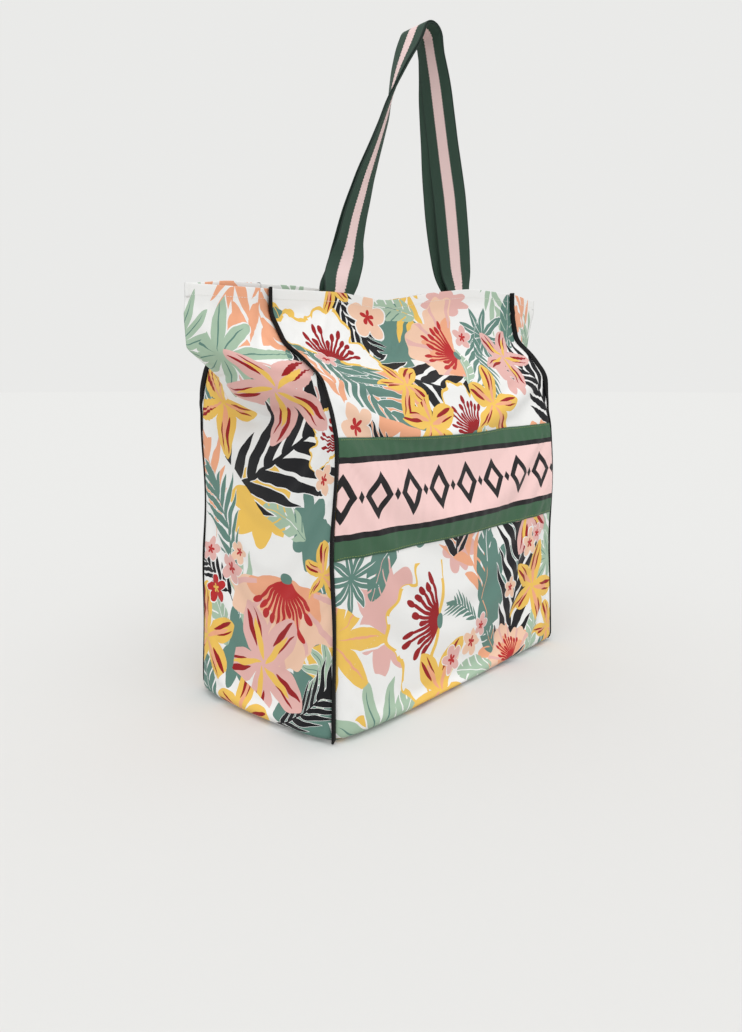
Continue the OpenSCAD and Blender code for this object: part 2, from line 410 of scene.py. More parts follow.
def cloth_place():
    """The place on the flat cloth, in metres."""
    return add_node("ShaderNodeUVMap", 0, uv_map="print")


def raised(height, strength, distance):
    return add_node("ShaderNodeBump", 0, ("Strength", strength), ("Distance", distance), ("Height", height))


def weave(flat, pitch, strength):
    """Raised threads both ways, as a bump."""
    x, y, _ = pieces_of(flat)
    turns = math.tau / pitch
    threads = sine(x * turns) * sine(y * turns)
    return raised(threads, strength, 0.0002)


def set_shader(colour, roughness, gloss, normal, metallic=0.0):
    """Feeds the shader. A number is set on the shader's own socket."""
    for name, value in [("Base Color", colour), ("Roughness", roughness), ("Specular IOR Level", gloss),
                        ("Normal", normal), ("Metallic", metallic)]:
        feed(Tree.shader.inputs[name], value)


def srgb(red, green, blue):
    """A colour given as 0 to 255 on screen, as light."""
    def light(value):
        value /= 255
        return value / 12.92 if value <= 0.04045 else ((value + 0.055) / 1.055) ** 2.4
    return light(red), light(green), light(blue)


# ---------- The print's motifs ----------

WHITE = srgb(239, 239, 238)
TEAL = srgb(98, 134, 124)
SAGE = srgb(168, 193, 170)
CHARCOAL = srgb(24, 24, 28)
YELLOW = srgb(238, 195, 94)
PEACH = srgb(238, 170, 134)
PALE_PEACH = srgb(240, 200, 174)
PINK = srgb(228, 180, 174)
RED = srgb(186, 42, 44)
DARK_RED = srgb(152, 24, 30)
BLACK = (0.0, 0.0, 0.0)
FINE_WEAVE = 0.00045


def nearest(place, spots):
    """x and y as seen from the nearest spot, in its own turn and size, and its shade number.

    The spots are as in the tables below.
    """
    centre = form = nearest_distance = None
    for across, up, turn, size, shade in spots:
        wide, high = size if isinstance(size, tuple) else (size, size)
        spot_centre = (across / 1000, up / 1000, math.radians(turn))
        spot_form = (wide / 1000, high / 1000, shade)
        distance = vector("DISTANCE", place, (across / 1000, up / 1000, 0), output=1)
        if centre is None:
            centre, form, nearest_distance = spot_centre, spot_form, distance
        else:
            closer = distance < nearest_distance
            centre = mixed_vector(closer, centre, spot_centre)
            form = mixed_vector(closer, form, spot_form)
            nearest_distance = smaller(distance, nearest_distance)
    turn = pieces_of(centre)[2]
    rotation = add_node("ShaderNodeCombineXYZ", 0, (2, turn))
    local = add_node("ShaderNodeMapping", 0, (0, place), (1, centre), (2, rotation), (3, form),
                     vector_type="TEXTURE")
    x, y, _ = pieces_of(local)
    return x, y, pieces_of(form)[2]


def shade_of(number, colours):
    """The colour with that number."""
    colour = colours[0]
    for i, other in enumerate(colours[1:]):
        colour = mixed(number > i + 0.5, colour, other)
    return colour


def lens(along, across, half_width, roundness=0.8):
    """A pointed leaf that runs from along 0 to 1. Positive inside."""
    fullness = along * (1 - along) * 4
    return larger(fullness, 0.0) ** roundness * half_width + smaller(fullness, 0.0) - magnitude(across)


def frond(x, y, pairs, slope, fill, longest, bend, seed):
    """Leaflets on both sides of a rib that runs up from y -1 to y 1. Positive inside."""
    rib = x - bend * (1 - y * y)
    side = sign(rib)
    out = magnitude(rib)
    along = (y + 1) * 0.5 - out * slope - out * out * 0.25 + side * (0.25 / pairs)
    place = along * pairs
    number = whole(place)
    share = (number + 0.5) / pairs
    jitter = scatter(number + side * 17 + seed) * 0.35 + 0.8
    reach = larger((1 - share * share) * (share + 0.35) * longest * jitter, 0.001)
    along_leaflet = smaller(out / reach, 1.0)
    width = (along_leaflet ** 0.35) * ((1 - along_leaflet) ** 0.85) * fill
    leaflet = width - magnitude(place - number - 0.5) - larger(out - reach, 0.0) * 3
    leaflet = smaller(leaflet, along * 40)
    tip = lens((y - 0.45) / 0.75, rib, 0.1) * 3
    stem = lens((y + 1.5) / 2.4, rib, 0.018) * 8
    return larger(larger(leaflet, tip), stem)


# Each motif below gives its strokes, the lowest first: where it is, as a number that is positive inside, and
# its colour for each shade number

def patch(x, y, shade):
    """A spot with a leafy edge."""
    edge = 0.75 + magnitude(cosine(arctan(y, x) * 3.5 + shade)) * 0.35
    return [(edge - length_of(x, y), [YELLOW, PINK, PEACH, TEAL])]


def pale_frond(x, y, shade):
    return [(frond(x, y, 4, 0.62, 0.76, 0.90, 0.12, 0), [YELLOW, SAGE, PEACH])]


def dark_frond(x, y, shade):
    return [(frond(x, y, 8, 0.55, 0.80, 0.78, 0.14, 4), [CHARCOAL, TEAL])]


def broad_leaf(x, y, shade):
    """A leaf that runs up from y -1 to y 1, with the slits between its veins cut out."""
    rib = x - 0.12 * (1 - y * y)
    out = magnitude(rib)
    blade = lens((y + 1) / 2, rib, 0.42, 0.62)
    slit = fraction((y + 1) * 2.6 - out * 2.4 + sign(rib) * 0.25)
    cut = larger(magnitude(slit - 0.5) * 0.5 - 0.035 - out * 0.04, 0.10 - out)
    return [(smaller(smaller(blade, cut), out * 3 - 0.035), [TEAL, SAGE])]


def palm(x, y, shade):
    """Nine long pointed leaves round a centre, and the vein of each."""
    along, across, number = flower_angles(x, y, 9, 11.0)
    along = along / (scatter(number + shade * 5) * 0.5 + 0.65)
    leaf = lens(along, across, 0.105, 0.85)
    vein = lens((along - 0.12) / 0.7, across - along * 0.02, 0.012)
    return [(leaf, [SAGE, TEAL, YELLOW]), (smaller(vein, leaf), [TEAL, WHITE, PEACH])]


def flower_angles(x, y, petals, seed):
    """Splits the way round a centre between petals: how far along a petal, how far across it, its number."""
    turn = arctan(y, x) * (petals / math.tau) + petals
    number = whole(turn)
    angle = (turn - number - 0.5) * (math.tau / petals)
    radius = length_of(x, y)
    return radius * cosine(angle), radius * sine(angle), number + seed


def lily(x, y, shade):
    """Five pointed petals with strokes of two colours along them."""
    along, across, number = flower_angles(x, y, 5, 3.0)
    chance = scatter(number + shade * 7)
    along = along / (chance * 0.45 + 0.75)
    across = across - along * (1 - along) * (chance - 0.5) * 0.6
    petal = lens(along, across, 0.26, 0.72)
    bold = lens((along - 0.3) / 0.6, across - 0.045 - along * 0.03, 0.048, 0.7)
    pale = lens((along - 0.04) / 0.66, across + 0.035, 0.06)
    fine = lens((along - 0.35) / 0.5, across + 0.1, 0.022)
    return [(petal, [PINK, YELLOW]), (smaller(pale, petal), [YELLOW, PEACH]),
            (smaller(larger(bold, fine), petal), [DARK_RED])]


def fan_flower(x, y, shade):
    """A ruffled fan above its base at y -0.7, with its inner part, streaks, stamens and calyx."""
    up = y + 0.7
    radius = length_of(x, up)
    angle = arctan(x, up)
    ruffle = sine(angle * 19) * 0.05 + magnitude(cosine(angle * 2.6)) * 0.36
    rim = 1.16 + ruffle
    fan = smaller(rim - radius, (1.45 - magnitude(angle)) * radius)
    inner = smaller(rim * 0.62 - radius + sine(angle * 11) * 0.09, fan)
    streak = smaller(magnitude(fraction(angle * 2.2) - 0.5) - 0.4, radius - 0.75)
    place = angle * 5.6
    number = whole(place)
    off = (place - number - 0.5) / 5.6 * radius
    end = scatter(number + 5) * 0.45 + 0.55
    stalk = smaller(lens((radius - 0.08) / end, off, 0.034, 0.4), (1.05 - magnitude(angle)) * 5)
    head = smaller(0.06 - length_of(off, (radius - end) * 0.5), (1.05 - magnitude(angle)) * 5)
    calyx = 0.15 - length_of(x * 1.1, (up - 0.02) * 1.6)
    ragged = shade > 0.5
    return [(fan, [PALE_PEACH, YELLOW]), (smaller(fan - ragged * 0.09, inner + ragged * 5), [PEACH, WHITE]),
            (smaller(streak, fan - 0.03), [PINK, WHITE]), (larger(stalk, head), [RED, DARK_RED]),
            (calyx, [TEAL])]


def blossom(x, y, shade):
    """Five round petals and a heart."""
    radius = length_of(x, y)
    lobe = magnitude(cosine(arctan(y, x) * 2.5))
    return [(lobe * 0.45 + 0.55 - radius, [PINK, PALE_PEACH, RED]),
            (lobe * 0.28 + 0.1 - radius, [RED, RED, YELLOW])]


# The layers of the print, the lowest first: the motif, and the width of the white gap round it
LAYERS = {"patches": (patch, 0), "pale_fronds": (pale_frond, 0), "palms": (palm, 0.02),
          "leaves": (broad_leaf, 0), "dark_fronds": (dark_frond, 0.06), "fans": (fan_flower, 0),
          "lilies": (lily, 0), "blossoms": (blossom, 0.08)}


# Where each motif lies on the cloth, from the middle of its lower edge: (across, up, turn, size, shade), in
# millimetres and degrees. A size of two numbers is a width and a height.
WALL_PRINT = {
    "patches": [(-126, 112, 10, (44, 58), 1), (85, 30, 0, (45, 24), 2), (60, 100, -12, (26, 60), 3),
        (-170, 12, 0, (30, 16), 0), (-90, 335, 0, (50, 52), 2), (-35, 425, 20, (50, 42), 3),
        (-190, 445, 0, (30, 20), 0), (140, 375, 0, (22, 40), 1), (0, 165, 0, (30, 30), 1),
        (70, 470, 0, (40, 16), 1), (-160, 225, 0, (50, 40), 0), (180, 260, 0, (30, 40), 2)],
    "palms": [(-152, -12, 0, 90, 0), (-122, 378, 25, 62, 1), (126, 424, 10, 55, 1), (-206, 108, 8, 100, 2),
        (-176, 158, 0, 46, 1), (60, 250, 0, 60, 0), (196, 120, 40, 45, 0)],
    "leaves": [(-180, 425, 20, (45, 40), 0), (55, 380, -25, 32, 1), (140, 30, -20, 34, 1),
        (-130, 165, 150, 40, 0), (45, 140, -8, 48, 0), (30, 10, 70, 40, 1), (185, 445, -15, 40, 0),
        (170, 10, -40, 34, 0), (-20, 460, 80, 35, 1), (50, 50, 35, 30, 0), (-105, 20, -60, 40, 1),
        (110, 150, 10, 36, 0)],
    "pale_fronds": [(12, 145, 30, 60, 2), (-195, 370, 20, 50, 2), (10, 470, 175, 50, 0),
        (168, 482, -165, 50, 1), (195, 150, 0, 55, 1), (30, 300, -80, 60, 0), (-120, 260, 60, 60, 2)],
    "dark_fronds": [(98, 90, -12, 105, 0), (-20, 368, -108, 115, 0), (-120, 350, -140, 85, 1),
        (172, 350, 25, 75, 0), (100, 380, 165, 50, 1), (-140, 283, 60, 40, 0), (0, 90, 60, 30, 1),
        (-86, 452, -155, 50, 0), (-30, 215, 20, 80, 0)],
    "fans": [(-80, 98, 78, 60, 1), (88, 30, 20, 30, 0), (-132, 425, -25, 50, 1), (30, 410, 72, 52, 0),
        (18, 318, 25, 46, 1), (-70, 215, 0, 55, 0)],
    "lilies": [(155, 88, 30, 52, 1), (-45, 12, 10, 58, 1), (192, 30, 0, 42, 1), (-112, 488, 0, 30, 1),
        (-68, 352, 0, 40, 1), (82, 325, 40, 50, 1), (150, 395, 20, 45, 0), (-45, 305, 55, 52, 1),
        (140, 190, 0, 55, 0)],
    "blossoms": [(18, 52, 0, 18, 1), (-18, 40, 30, 17, 0), (36, 68, 0, 13, 0), (146, 146, 20, 18, 1),
        (165, 155, 0, 13, 0), (88, 425, 0, 16, 0), (-165, 305, 40, 26, 1), (-62, 452, 10, 28, 1),
        (100, 98, 10, 14, 1), (-158, 395, 10, 13, 0)],
}
GUSSET_PRINT = {
    "patches": [(-4, 222, 15, (48, 40), 0), (50, 350, 0, (40, 36), 1), (68, 40, 0, (40, 40), 3),
        (70, 205, 0, (26, 36), 3), (-40, 70, 0, (22, 40), 3), (90, 100, 0, (20, 40), 0),
        (-85, 450, 0, (18, 18), 2), (-90, 0, 0, (20, 20), 3)],
    "palms": [(26, 404, 12, 82, 0), (-10, 440, 0, 60, 0), (95, 75, 0, 40, 0)],
    "leaves": [(30, 208, 70, 36, 1), (-85, 25, 30, 35, 0), (96, 385, -20, 30, 0), (-90, 345, 0, 30, 0),
        (85, 130, -15, 35, 0), (-70, 95, 30, 30, 1)],
    "pale_fronds": [(66, 470, 168, 58, 2), (94, 462, 178, 56, 2), (90, 95, -80, 50, 0),
        (-90, 240, 10, 50, 2), (-30, 115, 20, 50, 1), (-50, 430, 10, 65, 2)],
    "dark_fronds": [(8, 282, -62, 128, 0), (-70, 195, 20, 60, 1), (70, 40, -50, 45, 0),
        (-88, 140, 60, 40, 0)],
    "fans": [(34, 112, 180, 60, 0), (95, 300, 40, 30, 1), (-60, -20, 0, 30, 1)],
    "lilies": [(4, 62, 10, 68, 0), (-66, 328, 25, 56, 1), (45, 350, -10, 64, 0), (-88, 72, 60, 50, 1),
        (-18, 4, 50, 46, 1), (90, 165, 50, 30, 1)],
    "blossoms": [(-52, 150, 0, 18, 0), (-76, 124, 30, 16, 2), (-40, 168, 0, 13, 1), (85, 255, 0, 14, 1),
        (-88, 165, 10, 14, 0)],
}


def print_colour(spots):
    """The colour of the printed cloth, painted one layer of motifs over another."""
    flat = cloth_place()
    wander = noise(flat, 42, 1.0, output=1)
    place = vector("MULTIPLY_ADD", wander, (0.007, 0.007, 0), flat)
    place = vector("SUBTRACT", place, (0.0035, 0.0035, 0))
    colour = WHITE
    for layer, (motif, gap) in LAYERS.items():
        x, y, shade = nearest(place, spots[layer])
        for inside, colours in motif(x, y, shade):
            if gap:
                colour = mixed(inside > -gap, colour, WHITE)
            colour = mixed(inside > 0, colour, shade_of(shade, colours))
            gap = 0
    return colour


def printed_cloth(name, spots):
    """Satin polyester with the print, slightly uneven dye and a fine plain weave."""
    material = start_material(name)
    colour = print_colour(spots)
    flat = cloth_place()
    cloudy = noise(flat, 9, 3.0)
    set_shader(mixed(cloudy * 0.1, colour, BLACK), cloudy * 0.12 + 0.42, 0.18, weave(flat, FINE_WEAVE, 0.05))
    return material


WALL_CLOTH = printed_cloth("wall_print", WALL_PRINT)
GUSSET_CLOTH = printed_cloth("gusset_print", GUSSET_PRINT)


# ---------- Cloth panels ----------

CLOTH_SETTINGS = {"quality": 6, "mass": 0.12, "air_damping": 4, "tension_stiffness": 20,
                  "compression_stiffness": 20, "shear_stiffness": 8, "bending_stiffness": 0.8,
                  "vertex_group_mass": "pin", "pin_stiffness": 1}
CLOTH_FRAMES = 25
# No point of the cloth moves further than this from its place before the simulation
MOST_MOVED = 0.009


def settled(grid, pinned, slack, seed):
    """The grid after a cloth simulation, held where pinned, with a share of slack added to the cloth."""
    rows, columns = grid.shape[:2]
    spots = np.random.default_rng(seed).uniform(0, 1, (14, 4))
    start = grid.copy()
    v, u = np.meshgrid(np.linspace(0, 1, rows), np.linspace(0, 1, columns), indexing="ij")
    push = np.zeros((rows, columns))
    for a, b, c, d in spots:
        push += (c - 0.5) * np.exp(-((u - a) ** 2 + (v - b) ** 2) / (0.004 + 0.03 * d))
    start += grid_normals(grid) * (push * (1 - pinned) * 0.006)[..., None]
    faces = quads(np.arange(rows * columns).reshape(rows, columns))
    cloth = new_object("settling", start.reshape(-1, 3), faces)
    group = cloth.vertex_groups.new(name="pin")
    for i, weight in enumerate(pinned.ravel()):
        if weight > 0:
            group.add([i], float(weight), "REPLACE")
    modifier = cloth.modifiers.new("cloth", "CLOTH")
    for setting, value in CLOTH_SETTINGS.items():
        setattr(modifier.settings, setting, value)
    modifier.settings.shrink_min = -slack
    modifier.collision_settings.use_collision = False
    scene = bpy.context.scene
    for number in range(1, CLOTH_FRAMES + 1):
        scene.frame_set(number)
    shape = cloth.evaluated_get(bpy.context.evaluated_depsgraph_get()).to_mesh()
    result = np.zeros(rows * columns * 3)
    shape.vertices.foreach_get("co", result)
    scene.frame_set(1)
    bpy.data.objects.remove(cloth)
    moved = result.reshape(grid.shape) - grid
    far = np.linalg.norm(moved, axis=-1, keepdims=True)
    return grid + moved * np.minimum(1, MOST_MOVED / np.maximum(far, 1e-9))


def finer(grid, times):
    """The same grid with more points, on smooth lines between its own."""
    for axis in (0, 1):
        count = grid.shape[axis]
        place = np.linspace(0, count - 1, (count - 1) * times + 1)
        low = np.clip(np.floor(place).astype(int), 0, count - 2)
        t = (place - low).reshape((-1, 1, 1) if axis == 0 else (1, -1, 1))
        p0, p1, p2, p3 = (np.take(grid, np.clip(low + i, 0, count - 1), axis=axis) for i in (-1, 0, 1, 2))
        grid = 0.5 * (2 * p1 + (p2 - p0) * t + (2 * p0 - 5 * p1 + 4 * p2 - p3) * t ** 2
                      + (3 * p1 - p0 - 3 * p2 + p3) * t ** 3)
    return grid


def pins(rows, columns):
    """1 on the grid's edges, and less further in."""
    r, c = np.meshgrid(np.arange(rows), np.arange(columns), indexing="ij")
    from_edge = np.minimum(np.minimum(r, rows - 1 - r), np.minimum(c, columns - 1 - c))
    return np.clip(1 - from_edge / 2, 0, 1)


def wall_points(side, across, z):
    """Points of the front (side -1) or back (side 1) wall. across runs from -1 to 1."""
    return stacked(across * half_width(z), side * half_depth(z, side > 0), z)


def gusset_points(side, across, z):
    """Points of the left (side -1) or right (side 1) gusset. across is -1 at the back and 1 at the front."""
    y = np.where(across > 0, half_depth(z), half_depth(z, True)) - CLOTH_T - CLEAR
    folded = 1 - np.clip(np.sqrt(across * across + 0.02 ** 2), 0, 1)
    return stacked(side * (half_width(z) + ear_reach(z) * folded), -across * y, z)


HEM_TURN = 0.00105
HEM_DROP = 0.013


def hemmed(grid, flat):
    """The grid with its top rows turned over and down the inside, as a hem."""
    normals = grid_normals(grid)[-1]
    top, top_flat = grid[-1], flat[-1]
    turned, turned_flat = [], []
    for angle in np.radians([30, 60, 90, 120, 150, 180]):
        rise = np.array([0, 0, HEM_TURN / 2 * np.sin(angle)])
        turned.append(top - normals * HEM_TURN / 2 * (1 - np.cos(angle)) + rise)
        turned_flat.append(top_flat + [0, HEM_TURN * angle / 2])
    for fall in np.linspace(0, HEM_DROP, 7)[1:]:
        turned.append(top - normals * HEM_TURN - np.array([0, 0, fall]))
        turned_flat.append(top_flat + [0, HEM_TURN * 1.6 + fall])
    return np.concatenate([grid, np.array(turned)]), np.concatenate([flat, np.array(turned_flat)])


HEM_FOOT = MOUTH_Z - 0.016
HEM_ROWS = 9
PANEL_ROWS = 76


def panel_grid(points_at, side, half_flat, columns, slack, seed):
    """A panel's settled surface below its hem, then its hem, with each point's place on the flat cloth."""
    z = even_heights(0, HEM_FOOT, PANEL_ROWS)[:, None]
    across = np.linspace(-1, 1, columns)[None, :] * -side
    lower = sway(points_at(side, across, z))
    lower = finer(settled(lower, pins(PANEL_ROWS, columns), slack, seed), 2)
    across = np.linspace(-1, 1, lower.shape[1])[None, :] * -side
    upper = sway(points_at(side, across, np.linspace(HEM_FOOT, MOUTH_Z, HEM_ROWS)[1:, None]))
    grid = np.concatenate([lower, upper])
    steps = np.linalg.norm(np.diff(grid, axis=0), axis=-1)
    up = np.concatenate([np.zeros((1, grid.shape[1])), np.cumsum(steps, axis=0)])
    return grid, stacked(across * half_flat * -side, up)


def make_panel(name, grid, flat, body, node, material):
    return dress(cloth_from_grid(name, *hemmed(grid, flat)), material, body, node)


WALL_SLACK = 0.004
GUSSET_SLACK = 0.008
front_grid, front_flat = panel_grid(wall_points, -1, HALF_W, 65, WALL_SLACK, 3)
back_grid, back_flat = panel_grid(wall_points, 1, HALF_W, 65, WALL_SLACK, 8)
left_grid, left_flat = panel_grid(gusset_points, -1, HALF_D, 37, GUSSET_SLACK, 5)
right_grid, right_flat = panel_grid(gusset_points, 1, HALF_D, 37, GUSSET_SLACK, 6)
front_cloth = make_panel("front_cloth", front_grid, front_flat, "front_side", "front_panel", WALL_CLOTH)
back_cloth = make_panel("back_cloth", back_grid, back_flat, "back_side", "back_panel", WALL_CLOTH)
left_cloth = make_panel("left_gusset_cloth", left_grid, left_flat, "bag", "left_gusset", GUSSET_CLOTH)
right_cloth = make_panel("right_gusset_cloth", right_grid, right_flat, "bag", "right_gusset", GUSSET_CLOTH)


def make_bottom():
    rows, columns = 41, 81
    across = np.linspace(-1, 1, columns)[None, :]
    along = np.linspace(1, -1, rows)[:, None]
    grid = stacked(across * half_width(0), along * (half_depth(0) - CLEAR), 0.0002 + 0 * across * along)
    ripple = np.sin(across * 9 + along * 2) * np.cos(along * 4 - across * 3)
    ripple = ripple * (1 - across ** 2) * (1 - along ** 2)
    grid[..., 2] += 0.0012 * np.abs(ripple)
    grid = sway(grid)
    flat = stacked(along * HALF_D, (across + 1) * HALF_W)
    return dress(cloth_from_grid("bottom_cloth", grid, flat), GUSSET_CLOTH, "bag",
                 "bottom_panel")


bottom_cloth = make_bottom()


# ---------- Plain cloths and metal ----------

def textile(name, colour, roughness, pitch, strength):
    """Woven cloth of one dye, a little uneven."""
    material = start_material(name)
    flat = cloth_place()
    cloudy = noise(flat, 60, 3.0)
    darker = tuple(channel * 0.72 for channel in colour)
    colour = mixed(cloudy * 0.6, colour, darker)
    set_shader(colour, cloudy * 0.1 + roughness, 0.25, weave(flat, pitch, strength))
    return material


# Half the height of the band's pink stripe, and of that with its black edges
PINK_HALF = 0.0335
INK_HALF = 0.0395
DIAMOND_PITCH = 0.052
DIAMOND_HALF_W = 0.0195
DIAMOND_HALF_H = 0.0240


def band_cloth():
    """The band's stripes, with a plain row of open diamonds and dots along the middle one."""
    material = start_material("band_stripes")
    flat = cloth_place()
    x, y, _ = pieces_of(flat)
    from_middle = magnitude(y - BAND_H / 2)
    pink, ink, green = srgb(247, 209, 206), srgb(26, 23, 26), srgb(62, 98, 72)
    colour = mixed(from_middle > PINK_HALF, pink, ink)
    colour = mixed(from_middle > INK_HALF, colour, green)
    place = fraction((x + 1) / DIAMOND_PITCH) - 0.5
    diamond = magnitude(place) * (DIAMOND_PITCH / DIAMOND_HALF_W) + from_middle / DIAMOND_HALF_H
    ring = (diamond < 1) * (diamond > 0.52)
    dot_place = fraction((x + 1) / DIAMOND_PITCH + 0.5) - 0.5
    dot = magnitude(dot_place) * (DIAMOND_PITCH / 0.0048) + from_middle / 0.0062
    colour = mixed(larger(ring, dot < 1), colour, ink)
    cloudy = noise(flat, 12, 3.0)
    set_shader(mixed(cloudy * 0.08, colour, BLACK), cloudy * 0.1 + 0.42, 0.25, weave(flat, FINE_WEAVE, 0.05))
    return material


def webbing_cloth():
    """Ribbed webbing with a pink centre stripe whose edges step with the ribs."""
    material = start_material("webbing_weave")
    x, y, _ = pieces_of(cloth_place())
    from_middle = magnitude(x)
    zigzag = magnitude(fraction(y / 0.0036) - 0.5) * 0.0024
    ribs = y + magnitude(fraction(x / 0.005) - 0.5) * 0.004
    twill = sine(ribs * (math.tau / 0.0012))
    pink = from_middle + zigzag < 0.0070
    colour = mixed(pink, srgb(50, 76, 63), srgb(254, 224, 222))
    colour = mixed(from_middle > 0.0190, colour, srgb(30, 50, 42))
    shadow = mixed(0.24, colour, BLACK)
    set_shader(mixed(twill * 0.4 + 0.4, shadow, colour), 0.62, 0.3, raised(twill, 0.35, 0.0003))
    return material


def hard(name, colour, metallic, roughness, grain):
    """Metal or moulded plastic with fine scratches."""
    material = start_material(name)
    place = add_node("ShaderNodeTexCoord", "Object")
    scratches = noise(place, grain, 4.0)
    worn = mixed(scratches * 0.5, colour, tuple(channel * 0.8 for channel in colour))
    set_shader(worn, scratches * 0.15 + roughness, 0.5, raised(scratches, 0.08, 0.0001), metallic)
    return material


BINDING_TAPE = textile("binding_tape", srgb(13, 13, 14), 0.7, 0.0011, 0.3)
LINING = textile("pocket_lining", srgb(112, 150, 140), 0.5, 0.0005, 0.1)
ZIP_TAPE = textile("zip_tape_weave", srgb(34, 34, 37), 0.6, 0.0009, 0.3)
BAND_CLOTH = band_cloth()
WEBBING = webbing_cloth()
WHITE_THREAD = textile("white_thread", srgb(240, 240, 236), 0.5, 0.0004, 0.3)
GREEN_THREAD = textile("green_thread", srgb(150, 165, 90), 0.5, 0.0004, 0.3)
NICKEL = hard("nickel", srgb(205, 205, 200), 1.0, 0.22, 1800)
PLASTIC = hard("moulded_plastic", srgb(62, 62, 66), 0.0, 0.4, 900)


# ---------- Swept pieces ----------

def rounded_corners(half_x, half_y, radius, count):
    """The four arcs round a rectangle with round corners, each as points (x, y)."""
    arcs = []
    for turn, side_x, side_y in [(0, 1, 1), (90, -1, 1), (180, -1, -1), (270, 1, -1)]:
        angles = np.radians(turn + np.linspace(0, 90, count))
        arcs.append(stacked(side_x * (half_x - radius) + radius * np.cos(angles),
                            side_y * (half_y - radius) + radius * np.sin(angles)))
    return arcs


def rounded_strip(width, thickness):
    """Points round a flat strip's cross-section, as (across, out)."""
    radius = min(width, thickness) / 2 * 0.9
    return np.concatenate(rounded_corners(width / 2, thickness / 2, radius, 4))


def tube_faces(count, around):
    """The faces between rings of points, and one more at each end."""
    index = np.arange(count * around).reshape(count, around)
    sides = quads(np.concatenate([index, index[:, :1]], axis=1))
    return sides + [index[0, ::-1].tolist(), index[-1].tolist()]


def swept(name, centres, across, out, section):
    """A solid strip: its section carried along the centres, with its width along across."""
    centres, across, out = (np.asarray(a, float) for a in (centres, across, out))
    rings = centres[:, None] + section[None, :, :1] * across[:, None] + section[None, :, 1:] * out[:, None]
    piece = new_object(name, rings.reshape(-1, 3), tube_faces(*rings.shape[:2]))
    along = np.concatenate([[0], np.cumsum(np.linalg.norm(np.diff(centres, axis=0), axis=1))])
    print_map(piece, stacked(section[None, :, 0] + 0 * along[:, None], along[:, None]).reshape(-1, 2))
    fix_normals(piece)
    return piece


def fix_normals(piece):
    """Turns every face outwards."""
    shape = bmesh.new()
    shape.from_mesh(piece.data)
    bmesh.ops.recalc_face_normals(shape, faces=shape.faces)
    shape.to_mesh(piece.data)
    shape.free()


# ---------- Bound seams ----------

BINDING_DEPTH = 0.0062
BINDING_T = 0.0024
# Degrees that each tape leans from the seam's diagonal, below and above the shoulder, by (side x, side y)
BINDING_LEAN = {(-1, -1): (-22, -10), (1, -1): (-80, -16), (-1, 1): (86, 20), (1, 1): (38, 12)}


def make_binding(name, side_x, side_y, body, node):
    """The tape folded over a seam, leaning to one side and a little unevenly."""
    z = np.concatenate([even_heights(0.004, MOUTH_Z, 150), [MOUTH_Z + 0.0015]])
    reach, y = ear_reach(z), half_depth(z, side_y > 0)
    seam = sway(stacked(side_x * half_width(z), side_y * y, z))
    out = stacked(y, reach + np.hypot(y, reach))
    out /= np.linalg.norm(out, axis=1, keepdims=True)
    diagonal = out.copy()
    low, high = BINDING_LEAN[side_x, side_y]
    lean = low + (high - low) * step(z, 0.30, 0.345) + 6 * np.sin(z * 43 + side_x * 2) * step(z, 0.0, 0.03)
    cos, sin = np.cos(np.radians(lean)), np.sin(np.radians(lean))
    out = stacked(out[:, 0] * cos - out[:, 1] * sin, out[:, 0] * sin + out[:, 1] * cos, 0)
    out *= [side_x, side_y, 1]
    along = np.gradient(seam, axis=0)
    along /= np.linalg.norm(along, axis=1, keepdims=True)
    out -= along * np.sum(out * along, axis=1, keepdims=True)
    out /= np.linalg.norm(out, axis=1, keepdims=True)
    across = np.cross(along, out)
    seam[:, :2] += 0.0012 * diagonal * [side_x, side_y]
    inset = -0.0012 + 0.0034 * step(np.abs(lean), 50, 75)[:, None]
    centres = seam + out * (BINDING_DEPTH / 2 + inset)
    piece = swept(name, centres, across, out, rounded_strip(BINDING_T, BINDING_DEPTH))
    return dress(piece, BINDING_TAPE, body, node)


bindings = []
for name_y, side_y in [("front", -1), ("back", 1)]:
    for name_x, side_x in [("left", -1), ("right", 1)]:
        node = f"{name_y}_{name_x}_binding"
        bindings.append(make_binding(f"{name_y}_{name_x}_tape", side_x, side_y, f"{name_y}_side", node))


# ---------- Band ----------

def on_grid(grid, heights, x, z):
    """Points of a settled front panel at those places across and up, and the panel's normals there."""
    normals = grid_normals(grid)
    columns = (x / HALF_W + 1) / 2 * (grid.shape[1] - 1)
    rows = np.interp(z, heights, np.arange(len(heights)))
    columns, rows = np.broadcast_arrays(columns, rows)
    c = np.clip(np.floor(columns).astype(int), 0, grid.shape[1] - 2)
    r = np.clip(np.floor(rows).astype(int), 0, grid.shape[0] - 2)
    tc, tr = (columns - c)[..., None], (rows - r)[..., None]
    found = []
    for field in (grid, normals):
        low = field[r, c] * (1 - tc) + field[r, c + 1] * tc
        high = field[r + 1, c] * (1 - tc) + field[r + 1, c + 1] * tc
        found.append(low * (1 - tr) + high * tr)
    return found


# The height of each of the front grid's rows
FRONT_HEIGHTS = np.concatenate([even_heights(0, HEM_FOOT, len(front_grid) - HEM_ROWS + 1),
                                np.linspace(HEM_FOOT, MOUTH_Z, HEM_ROWS)[1:]])
BAND_STITCH = 0.0022


